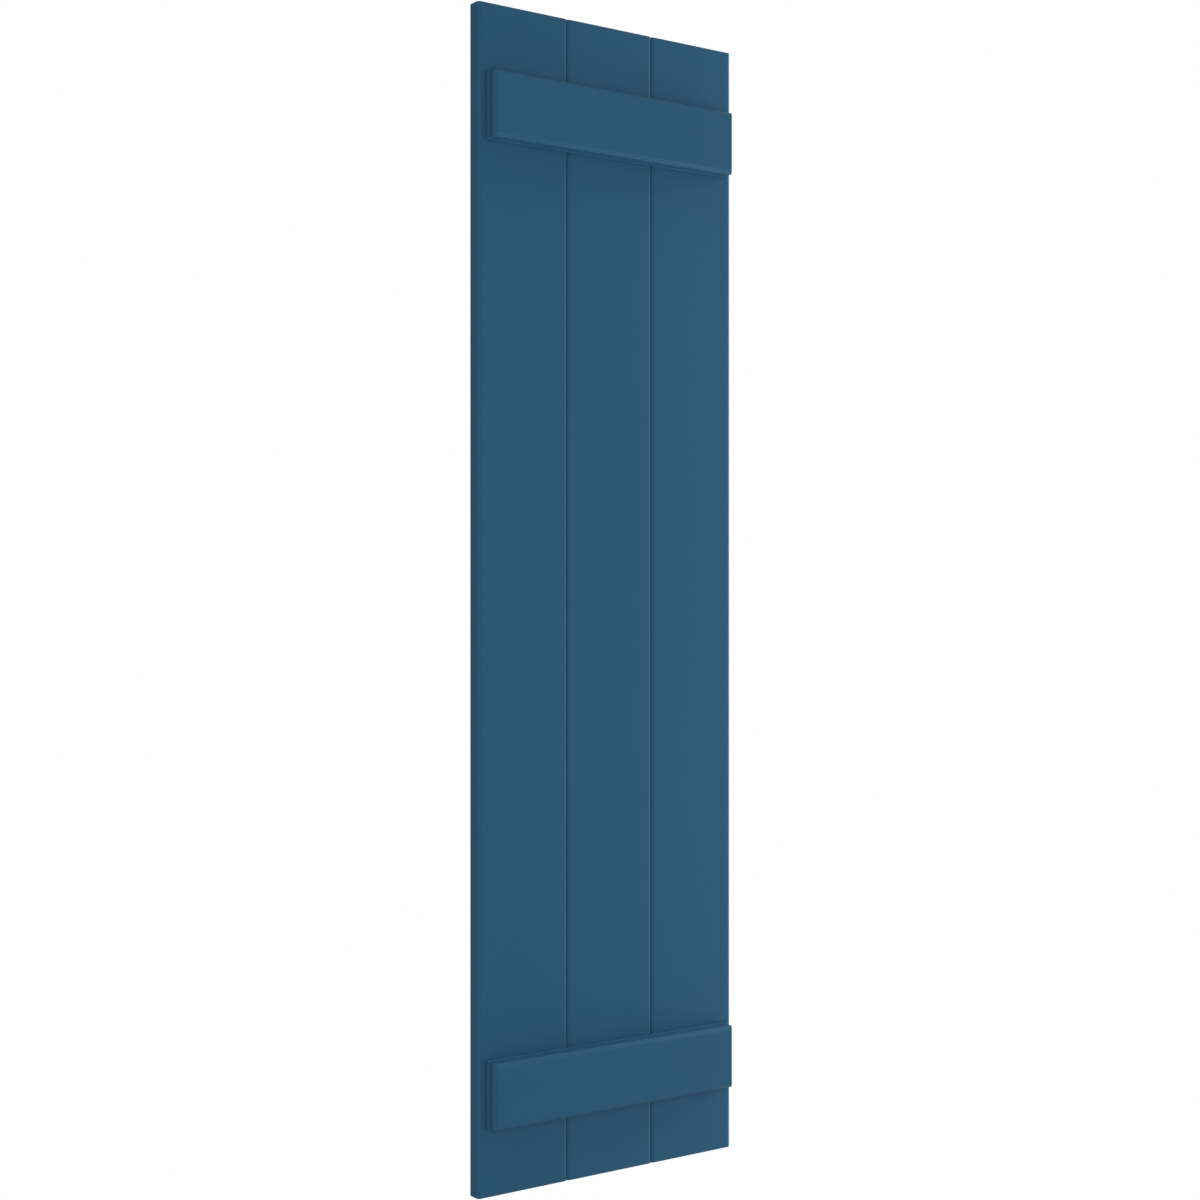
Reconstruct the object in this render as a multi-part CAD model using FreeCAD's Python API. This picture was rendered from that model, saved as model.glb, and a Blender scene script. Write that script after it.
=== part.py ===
import FreeCAD, Part
import os

# Board and batten window shutter: three equal vertical boards, tongued and grooved side by side,
# held by two horizontal battens whose edges are stepped and bevelled on all four sides.
# Millimetres. Origin in the middle of the back face, which lies on the wall; +Z up, front towards -Y.

# Boards, named from left to right
board_names = ["left", "centre", "right"]
board_width = 136.525
board_height = 1524.0
board_thickness = 19.05
board_edge_round = 4.8

# Tongue and groove along the joints between boards
tongue_thickness = 6.35
tongue_reach = 7.9
tongue_cheek_clearance = 0.2
tongue_tip_clearance = 0.8

# Battens
batten_height = 88.9
batten_thickness = 23.8
batten_end_setback = 10.2
batten_edge_margin = 86.7

# Moulding around the battens: a square base, a narrow step, then a bevel that rises to the face
moulding_base = 7.5
moulding_step = 1.9
bevel_inset = 4.3
bevel_depth = 6.3
arris_round = 0.8

board_count = len(board_names)
shutter_width = board_count * board_width
batten_length = shutter_width - 2 * batten_end_setback
batten_centre_z = board_height / 2 - batten_edge_margin - batten_height / 2

up = FreeCAD.Vector(0, 0, 1)
across = FreeCAD.Vector(1, 0, 0)
tolerance = 0.001


def closed_face(edges):
    return Part.Face(Part.Wire(edges))


def chain(points):
    return [Part.LineSegment(a, b).toShape() for a, b in zip(points, points[1:])]


def board(centre_x, has_tongue, has_groove):
    """A board seen from above: round front edges, a tongue on its right side, a groove in its left."""
    left = centre_x - board_width / 2
    right = centre_x + board_width / 2
    front = -board_thickness
    mid = -board_thickness / 2
    r = board_edge_round
    quarter = r * (1 - 2 ** -0.5)
    z = -board_height / 2

    def at(x, y):
        return FreeCAD.Vector(x, y, z)

    right_side = [at(right, front + r), at(right, 0)]
    if has_tongue:
        half = tongue_thickness / 2
        tip = right + tongue_reach
        tongue = [(right, mid - half), (tip, mid - half), (tip, mid + half), (right, mid + half)]
        right_side[1:1] = [at(x, y) for x, y in tongue]
    left_side = [at(left, 0), at(left, front + r)]
    if has_groove:
        half = tongue_thickness / 2 + tongue_cheek_clearance
        bed = left + tongue_reach + tongue_tip_clearance
        groove = [(left, mid + half), (bed, mid + half), (bed, mid - half), (left, mid - half)]
        left_side[1:1] = [at(x, y) for x, y in groove]

    right_round = [at(right - r, front), at(right - quarter, front + quarter), at(right, front + r)]
    left_round = [at(left, front + r), at(left + quarter, front + quarter), at(left + r, front)]
    edges = chain([at(left + r, front), at(right - r, front)])
    edges.append(Part.Arc(*right_round).toShape())
    edges += chain(right_side + left_side)
    edges.append(Part.Arc(*left_round).toShape())
    return closed_face(edges).extrude(up * board_height)


def moulded_bar(length, span, run, place):
    """A bar of the batten's edge section, `span` wide over its base and `length` long in direction `run`.

    `place(w, d)` gives the point that lies w across the bar and d proud of the boards.
    """
    half = span / 2
    shelf = half - moulding_step
    face = shelf - bevel_inset
    shoulder = batten_thickness - bevel_depth
    base_and_step = [(half, 0), (half, moulding_base), (shelf, moulding_base)]
    bevel = [(shelf, shoulder), (face, batten_thickness)]
    side = base_and_step + bevel
    far_side = [(-w, d) for w, d in reversed(side)]
    corners = [place(w, d) for w, d in side + far_side + side[:1]]
    return closed_face(chain(corners)).extrude(run * length)


def is_arris(edge):
    """True for an outward corner: not one on the back, nor the inside corner behind the step."""
    ends = [vertex.Point for vertex in edge.Vertexes]
    on_back = all(end.y > -board_thickness - tolerance for end in ends)
    within_base = all(abs(end.x) < batten_length / 2 - tolerance for end in ends)
    on_step = within_base and all(end.y > -board_thickness - moulding_base - tolerance for end in ends)
    return not on_back and not on_step


def batten(centre_z):
    """The same section runs along the batten and across it, so the moulding mitres at the corners."""
    def along(w, d):
        return FreeCAD.Vector(-batten_length / 2, -board_thickness - d, centre_z + w)

    def crosswise(w, d):
        return FreeCAD.Vector(w, -board_thickness - d, centre_z - batten_height / 2)

    lengthwise_bar = moulded_bar(batten_length, batten_height, across, along)
    end_bar = moulded_bar(batten_height, batten_length, up, crosswise)
    sharp_bar = lengthwise_bar.common(end_bar).Solids[0]
    arrises = [edge for edge in sharp_bar.Edges if is_arris(edge)]
    return sharp_bar.makeFillet(arris_round, arrises).Solids[0]


pieces = {}
for index, name in enumerate(board_names):
    centre_x = (index - (board_count - 1) / 2) * board_width
    pieces["board_" + name] = board(centre_x, index < board_count - 1, index > 0)
pieces["batten_top"] = batten(batten_centre_z)
pieces["batten_bottom"] = batten(-batten_centre_z)

os.makedirs("parts", exist_ok=True)
for name, shape in pieces.items():
    shape.exportStep("parts/" + name + ".step")
    print(name, shape.ShapeType, shape.isValid(), round(shape.Volume))
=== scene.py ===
import math

import bmesh
import bpy
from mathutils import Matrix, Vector


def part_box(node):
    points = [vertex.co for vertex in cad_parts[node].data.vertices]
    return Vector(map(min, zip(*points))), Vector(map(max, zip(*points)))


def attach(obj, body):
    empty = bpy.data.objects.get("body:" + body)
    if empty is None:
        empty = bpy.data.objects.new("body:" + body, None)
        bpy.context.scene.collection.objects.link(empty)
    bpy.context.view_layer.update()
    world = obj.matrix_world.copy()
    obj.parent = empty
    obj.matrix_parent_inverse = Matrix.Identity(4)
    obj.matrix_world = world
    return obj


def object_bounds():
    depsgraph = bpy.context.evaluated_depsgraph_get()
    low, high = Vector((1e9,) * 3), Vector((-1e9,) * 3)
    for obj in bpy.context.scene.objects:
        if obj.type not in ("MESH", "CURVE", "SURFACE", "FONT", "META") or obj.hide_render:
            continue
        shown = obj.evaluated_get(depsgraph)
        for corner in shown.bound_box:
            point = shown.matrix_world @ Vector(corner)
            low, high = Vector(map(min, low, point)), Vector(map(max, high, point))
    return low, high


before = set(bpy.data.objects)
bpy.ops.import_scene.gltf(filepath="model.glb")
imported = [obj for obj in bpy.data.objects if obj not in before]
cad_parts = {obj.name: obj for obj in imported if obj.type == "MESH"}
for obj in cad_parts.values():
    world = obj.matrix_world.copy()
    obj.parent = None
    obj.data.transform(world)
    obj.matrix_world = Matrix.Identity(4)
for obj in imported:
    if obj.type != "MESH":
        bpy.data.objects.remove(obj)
solid_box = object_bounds()

# The three boards: planks of smooth cellular PVC, planed to one thickness, with round front edges that leave
# a groove at each joint. They are tongued and grooved into one panel, sprayed all over with a satin grey-blue
# paint: a little thinner and duller on the sawn ends. A thin dark line along each butt joint at the back is
# painted shade, standing in for the shadow in the crack between the boards.
board_blue = (0.0213, 0.0825, 0.1480)
board_tones = {"board_left": 0.985, "board_centre": 1.0, "board_right": 1.012}
panel_left, panel_right = solid_box[0][0], solid_box[1][0]
board_width = (panel_right - panel_left) / len(board_tones)

paint_shine = 0.05
paint_index = 1.45
satin_roughness = (0.48, 0.58)
up_the_board = (1.0, 1.0, 0.22)
next_board_shift = 3.1
tone_drift = 0.035
drift_per_metre = 9.0
drift_detail = 3.0
strokes_per_metre = 60.0
stroke_detail = 2.0
stroke_height = 0.00010
stroke_relief = 0.5
peel_per_metre = 420.0
peel_detail = 2.0
peel_height = 0.00003
peel_relief = 0.5
saw_marks_per_metre = (90.0, 900.0, 1.0)
saw_mark_detail = 3.0
saw_mark_height = 0.00012
sawn_tone = 0.90
sawn_dulling = 0.15
joint_half_width = 0.0003
joint_shade_tone = 0.35
square_on = 0.98
mix_first, mix_second, mix_result = 6, 7, 2


def add_node(tree, kind, inputs=None, **settings):
    """A node of one kind, with its sockets linked or set and its settings made."""
    made = tree.nodes.new(kind)
    for setting, value in settings.items():
        setattr(made, setting, value)
    for socket, value in (inputs or {}).items():
        if isinstance(value, bpy.types.NodeSocket):
            tree.links.new(value, made.inputs[socket])
        else:
            made.inputs[socket].default_value = value
    return made


def calculate(tree, operation, *values):
    return add_node(tree, "ShaderNodeMath", dict(enumerate(values)), operation=operation).outputs[0]


def stretched(tree, place, scale, shift=(0.0, 0.0, 0.0)):
    inputs = {"Vector": place, "Scale": scale, "Location": shift}
    return add_node(tree, "ShaderNodeMapping", inputs).outputs[0]


def noise(tree, place, per_metre, detail):
    inputs = {"Vector": place, "Scale": per_metre, "Detail": detail}
    return add_node(tree, "ShaderNodeTexNoise", inputs).outputs[0]


def spread(tree, value, low, high):
    inputs = {"Value": value, "To Min": low, "To Max": high}
    return add_node(tree, "ShaderNodeMapRange", inputs).outputs[0]


def blended(tree, share, first, second):
    colours = {"Factor": share, mix_first: first, mix_second: second}
    return add_node(tree, "ShaderNodeMix", colours, data_type="RGBA").outputs[mix_result]


def raised(tree, height, depth, relief, under=None):
    inputs = {"Height": height, "Distance": depth, "Strength": relief}
    if under:
        inputs["Normal"] = under
    return add_node(tree, "ShaderNodeBump", inputs).outputs[0]


def part_along(tree, vector, axis):
    return add_node(tree, "ShaderNodeSeparateXYZ", {"Vector": vector}).outputs[axis]


def blue(tone):
    return tuple(channel * tone for channel in board_blue) + (1.0,)


def sawn_ends(tree):
    """1 on faces that look straight up or down, 0 on all others."""
    facing = add_node(tree, "ShaderNodeNewGeometry").outputs["Normal"]
    upright = calculate(tree, "ABSOLUTE", part_along(tree, facing, "Z"))
    return calculate(tree, "GREATER_THAN", upright, square_on)


def back_joint_shade_mask(tree, place):
    """Painted shade mask: 1 on the back along the two joints between the boards, where the crack's shadow is
    painted, 0 elsewhere.
    """
    facing = add_node(tree, "ShaderNodeNewGeometry").outputs["Normal"]
    at_back = calculate(tree, "GREATER_THAN", part_along(tree, facing, "Y"), square_on)
    from_middle = calculate(tree, "ABSOLUTE", part_along(tree, place, "X"))
    from_joint = calculate(tree, "ABSOLUTE", calculate(tree, "SUBTRACT", from_middle, board_width / 2))
    on_joint = calculate(tree, "LESS_THAN", from_joint, joint_half_width)
    return calculate(tree, "MULTIPLY", at_back, on_joint)


def sprayed_paint(name, tone, run, shift, on_board=False):
    """Satin paint: slow drift of tone and spray strokes along the run of the piece, and fine orange peel."""
    paint = bpy.data.materials.new(name)
    paint.use_nodes = True
    tree = paint.node_tree
    shader = tree.nodes["Principled BSDF"]
    shader.inputs["Specular IOR Level"].default_value = paint_shine
    shader.inputs["IOR"].default_value = paint_index

    place = add_node(tree, "ShaderNodeTexCoord").outputs["Object"]
    along = stretched(tree, place, run, shift)
    drift = noise(tree, along, drift_per_metre, drift_detail)
    strokes = noise(tree, along, strokes_per_metre, stroke_detail)
    peel = noise(tree, place, peel_per_metre, peel_detail)

    coat = blended(tree, drift, blue(tone * (1 - tone_drift)), blue(tone * (1 + tone_drift)))
    roughness = spread(tree, strokes, *satin_roughness)
    surface = raised(tree, peel, peel_height, peel_relief)
    surface = raised(tree, strokes, stroke_height, stroke_relief, surface)
    if on_board:
        # Painted shade: a thin dark line on the back along each butt joint, for the shadow in the crack.
        coat = blended(tree, back_joint_shade_mask(tree, place), coat, blue(tone * joint_shade_tone))
        ends = sawn_ends(tree)
        saw_marks = noise(tree, stretched(tree, place, saw_marks_per_metre), 1.0, saw_mark_detail)
        thin_coat_and_recess_shade = calculate(tree, "MULTIPLY", ends, saw_marks)
        coat = blended(tree, thin_coat_and_recess_shade, coat, blue(tone * sawn_tone))
        roughness = calculate(tree, "MULTIPLY_ADD", ends, sawn_dulling, roughness)
        surface = raised(tree, saw_marks, saw_mark_height, ends, surface)
    tree.links.new(coat, shader.inputs["Base Color"])
    tree.links.new(roughness, shader.inputs["Roughness"])
    tree.links.new(surface, shader.inputs["Normal"])
    return paint


for index, (board, tone) in enumerate(board_tones.items()):
    shift = (index * next_board_shift, 0.0, 0.0)
    paint = sprayed_paint("paint_" + board, tone, up_the_board, shift, on_board=True)
    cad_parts[board].material_slots[0].material = paint

# The two battens: bars across the boards with a stepped and bevelled edge, mitred round all four sides.
# They are moulded from the same PVC, glued on and screwed from behind, and sprayed together with the boards,
# so the paint is the same and only its drift runs along the bar.
battens = ["batten_top", "batten_bottom"]
batten_tone = 1.0
along_the_batten = (0.22, 1.0, 1.0)
next_batten_shift = 2.3

for index, batten in enumerate(battens):
    shift = (0.0, index * next_batten_shift, 0.0)
    paint = sprayed_paint("paint_" + batten, batten_tone, along_the_batten, shift)
    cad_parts[batten].material_slots[0].material = paint

# The screws that pull the battens up to the boards: steel, two in each board behind each batten, with a flat
# head and a cross recess. They are driven in from the back until they stand a hair proud, and sprayed over
# with the rest. The recess and the foot of the head are darkened with painted shade.
head_radius = 0.0042
head_rise = 0.0003
head_root = -0.0010
head_rim = 0.0006
head_edge = 0.00006
head_steps = 48
recess_arms = 4
recess_reach = 0.0023
recess_half_width = 0.00062
recess_depth = 0.00022
recess_taper = 0.82
angle_digits = 6
least_slope = 1e-9
screw_offset_x = 0.034
screw_offset_z = 0.021
screw_tone = 0.97
recess_shade_tone = 0.30
all_ways_alike = (1.0, 1.0, 1.0)
screw_shift = (7.0, 0.0, 0.0)


def cross_reach(angle):
    """How far the cross recess reaches from the middle of the head in one direction."""
    level = max(abs(math.cos(angle)), least_slope)
    upright = max(abs(math.sin(angle)), least_slope)
    level_arm = min(recess_reach / level, recess_half_width / upright)
    upright_arm = min(recess_reach / upright, recess_half_width / level)
    return max(level_arm, upright_arm)


def head_angles():
    """Even steps round the head, with the recess's own corners among them."""
    quarter_turn = math.tau / recess_arms
    tip = math.atan2(recess_half_width, recess_reach)
    angles = {round(step * math.tau / head_steps, angle_digits) for step in range(head_steps)}
    for arm in range(recess_arms):
        for corner in (-tip, tip, quarter_turn / 2):
            angles.add(round((arm * quarter_turn + corner) % math.tau, angle_digits))
    return sorted(angles)


def screw_heads(name, centres):
    """One mesh with a closed head at each centre: foot, rim, flat top, then down into the cross recess."""
    angles = head_angles()
    round_head = [head_radius] * len(angles)
    inner_head = [head_radius - head_rim] * len(angles)
    recess_mouth = [cross_reach(angle) for angle in angles]
    recess_bed = [recess_taper * reach for reach in recess_mouth]
    rings = [
        (round_head, head_root),
        (round_head, head_edge),
        (inner_head, head_rise),
        (recess_mouth, head_rise),
        (recess_bed, head_rise - recess_depth),
    ]
    shape = bmesh.new()
    for centre in centres:
        loops = []
        for radii, rise in rings:
            points = [Vector((r * math.cos(a), rise, r * math.sin(a))) for r, a in zip(radii, angles)]
            loops.append([shape.verts.new(centre + point) for point in points])
        for low, high in zip(loops, loops[1:]):
            for k in range(len(angles)):
                n = (k + 1) % len(angles)
                shape.faces.new((low[k], high[k], high[n], low[n]))
        shape.faces.new(loops[-1])
        shape.faces.new(list(reversed(loops[0])))
    bmesh.ops.recalc_face_normals(shape, faces=shape.faces)
    mesh = bpy.data.meshes.new(name)
    shape.to_mesh(mesh)
    shape.free()
    heads = bpy.data.objects.new(name, mesh)
    bpy.context.scene.collection.objects.link(heads)
    return heads


screw_paint = sprayed_paint("paint_screws", screw_tone, all_ways_alike, screw_shift)
tree = screw_paint.node_tree
screw_coat = tree.nodes["Principled BSDF"].inputs["Base Color"]
full_coat = screw_coat.links[0].from_socket
# Painted shade: the paint is darkened towards the bottom of the recess and the foot of the head.
height = part_along(tree, add_node(tree, "ShaderNodeTexCoord").outputs["Object"], "Y")
recess_shade_range = {"Value": height, "From Min": head_edge, "From Max": head_rise, "To Min": 1.0, "To Max": 0.0}
thin_coat_and_recess_shade = add_node(tree, "ShaderNodeMapRange", recess_shade_range).outputs[0]
tree.links.new(blended(tree, thin_coat_and_recess_shade, full_coat, blue(recess_shade_tone)), screw_coat)

for batten in battens:
    low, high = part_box(batten)
    centre_z = (low.z + high.z) / 2
    centres = []
    for index in range(len(board_tones)):
        centre_x = panel_left + (index + 0.5) * board_width
        for side in (-1, 1):
            centres.append(Vector((centre_x + side * screw_offset_x, 0.0, centre_z + side * screw_offset_z)))
    screws = screw_heads("screws_" + batten, centres)
    screws.data.materials.append(screw_paint)
    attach(screws, "root")

# The studio floor: a plain pale sheet well below the shutter, which hangs as it does on a wall. It takes the
# shutter's shadow, and further out it turns to the white of the surround.
floor_z = -3.3
floor_reach = 9.0
floor_pale = (0.86, 0.86, 0.86, 1.0)
floor_roughness = 0.8
floor_shine = 0.1
floor_fade_start = 1.2
floor_fade_end = 2.6
pure_white = (1.0, 1.0, 1.0, 1.0)
white_strength = 1.0


def seen_rays(tree):
    """1 for what the camera sees, straight or in a reflection, and 0 for the light that falls on things."""
    rays = add_node(tree, "ShaderNodeLightPath")
    straight = calculate(tree, "MAXIMUM", rays.outputs["Is Camera Ray"], rays.outputs["Is Glossy Ray"])
    return calculate(tree, "MAXIMUM", straight, rays.outputs["Is Transmission Ray"])


def mixed(tree, share, first, second):
    return add_node(tree, "ShaderNodeMixShader", dict(enumerate((share, first, second)))).outputs[0]


floor_shape = bmesh.new()
floor_corners = []
for x, y in [(-1, -1), (1, -1), (1, 1), (-1, 1)]:
    floor_corners.append(floor_shape.verts.new((x * floor_reach, y * floor_reach, floor_z)))
floor_shape.faces.new(floor_corners)
floor_mesh = bpy.data.meshes.new("floor")
floor_shape.to_mesh(floor_mesh)
floor_shape.free()
floor = bpy.data.objects.new("floor", floor_mesh)
bpy.context.scene.collection.objects.link(floor)

floor_paint = bpy.data.materials.new("floor_white")
floor_paint.use_nodes = True
tree = floor_paint.node_tree
matt = tree.nodes["Principled BSDF"]
matt.inputs["Base Color"].default_value = floor_pale
matt.inputs["Roughness"].default_value = floor_roughness
matt.inputs["Specular IOR Level"].default_value = floor_shine
spot = add_node(tree, "ShaderNodeTexCoord").outputs["Object"]
foot = (0.0, 0.0, floor_z)
away = add_node(tree, "ShaderNodeVectorMath", {0: spot, 1: foot}, operation="DISTANCE").outputs["Value"]
fade_range = {"Value": away, "From Min": floor_fade_start, "From Max": floor_fade_end}
fade = add_node(tree, "ShaderNodeMapRange", fade_range, interpolation_type="SMOOTHSTEP").outputs[0]
share = calculate(tree, "MULTIPLY", seen_rays(tree), fade)
white = add_node(tree, "ShaderNodeEmission", {"Color": pure_white, "Strength": white_strength}).outputs[0]
floor_look = mixed(tree, share, matt.outputs[0], white)
tree.links.new(floor_look, tree.nodes["Material Output"].inputs["Surface"])
floor.data.materials.append(floor_paint)

# The surround: the white room round the shutter. It is white where it is seen, straight or in the sheen of
# the paint, and only a weak even glow where it lights things.
surround_glow = 0.175

world = bpy.data.worlds.new("studio")
world.use_nodes = True
bpy.context.scene.world = world
tree = world.node_tree
glow = tree.nodes["Background"]
glow.inputs["Color"].default_value = pure_white
glow.inputs["Strength"].default_value = surround_glow
white = add_node(tree, "ShaderNodeBackground", {"Color": pure_white, "Strength": white_strength}).outputs[0]
surround_look = mixed(tree, seen_rays(tree), glow.outputs[0], white)
tree.links.new(surround_look, tree.nodes["World Output"].inputs["Surface"])

# The lights: softboxes at mid-height round the shutter and one overhead. The broad one stands in front on the
# left, and a tall narrow one rakes along the front from the right, which picks out the boards' round edges.
middle = (0.0, 0.0, 0.0)


def softbox(name, place, width, height, watts):
    """A rectangular area light that faces the middle of the shutter."""
    lamp = bpy.data.lights.new(name, "AREA")
    lamp.shape = "RECTANGLE"
    lamp.size = width
    lamp.size_y = height
    lamp.energy = watts
    stand = bpy.data.objects.new(name, lamp)
    stand.location = place
    stand.rotation_euler = (Vector(middle) - Vector(place)).to_track_quat("-Z", "Y").to_euler()
    stand.visible_camera = False
    bpy.context.scene.collection.objects.link(stand)


softbox("light_front", place=(-1.5, -3.2, 0.0), width=2.0, height=3.0, watts=85.0)
softbox("light_left", place=(-3.4, -0.3, 0.0), width=2.0, height=3.0, watts=26.0)
softbox("light_right", place=(2.0, -0.25, 0.0), width=0.8, height=3.8, watts=125.0)
softbox("light_above", place=(0.0, -0.9, 3.1), width=2.4, height=1.0, watts=15.5)
softbox("light_behind", place=(1.6, 3.2, 0.0), width=2.0, height=3.0, watts=100.0)

# The camera: it stands level with the middle of the shutter, to its left, and looks a little past its centre.
# Its place and lens give the photograph's perspective, in which all uprights stay parallel.
camera_place = (-1.4379, -2.0764, 0.0)
camera_level = math.pi / 2
camera_turn = math.radians(34.643)
camera_lens = 56.5
camera_sensor = 36.0

camera_data = bpy.data.cameras.new("camera")
camera_data.lens = camera_lens
camera_data.sensor_width = camera_sensor
camera = bpy.data.objects.new("camera", camera_data)
camera.location = camera_place
camera.rotation_euler = (camera_level, 0.0, -camera_turn)
bpy.context.scene.collection.objects.link(camera)
bpy.context.scene.camera = camera
bpy.context.scene.view_settings.view_transform = "Standard"
